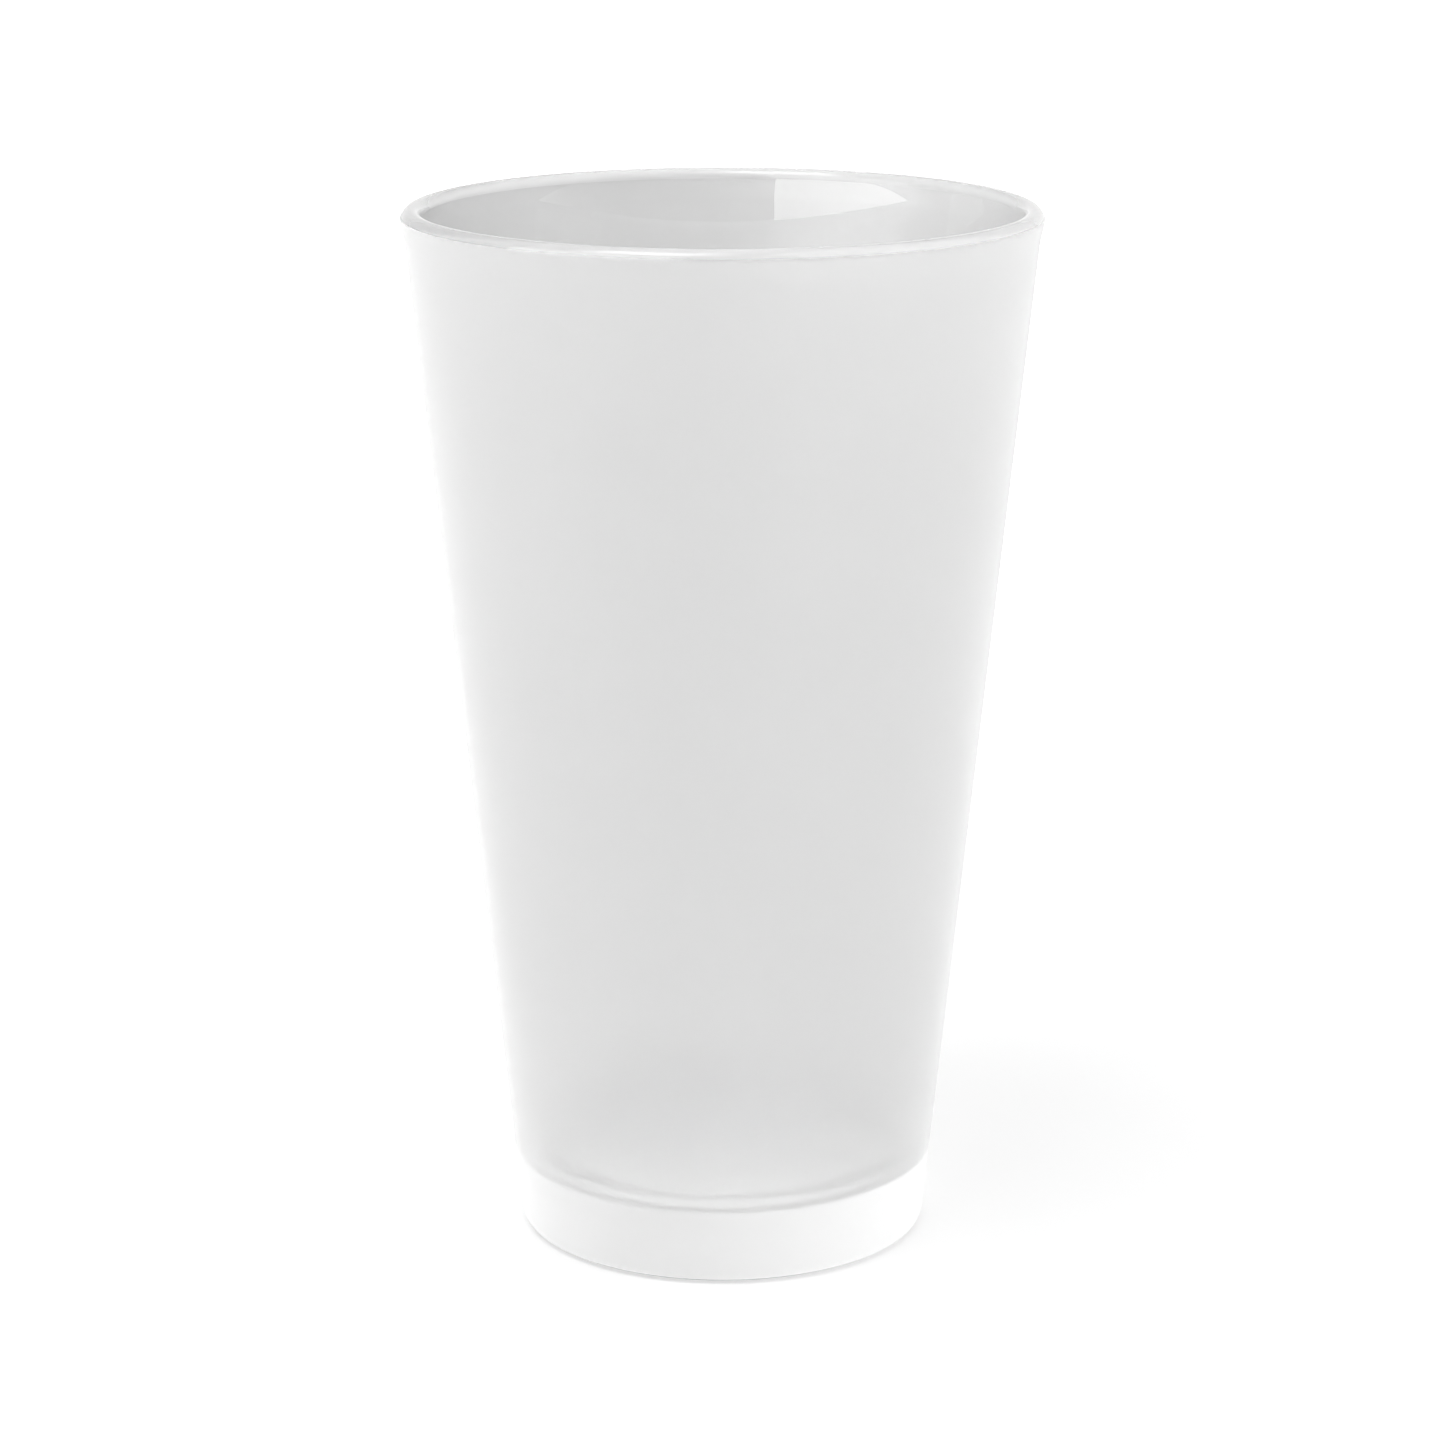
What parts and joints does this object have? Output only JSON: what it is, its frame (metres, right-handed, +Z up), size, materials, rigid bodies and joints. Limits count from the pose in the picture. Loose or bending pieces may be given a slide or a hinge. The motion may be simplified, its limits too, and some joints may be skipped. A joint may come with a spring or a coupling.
{
  "type": "pint glass",
  "caption": "Tapered frosted pint glass with a clear rounded rim, a matte coated outside wall and a heavy flat-standing foot.",
  "frame": {"origin": "centre of the foot, on the surface that the glass stands on", "axes": "+Z up along the glass's axis of revolution, from the foot to the rim"},
  "size_m": [0.0892, 0.0892, 0.148],
  "materials": {
    "clear_glass": "clear, glossy, fire-polished",
    "frosted_coating": "fine-grained matte, translucent white"
  },
  "bodies": {
    "root": {"glass_body": "clear_glass", "frosted_coating": "frosted_coating"}
  },
  "joints": []
}
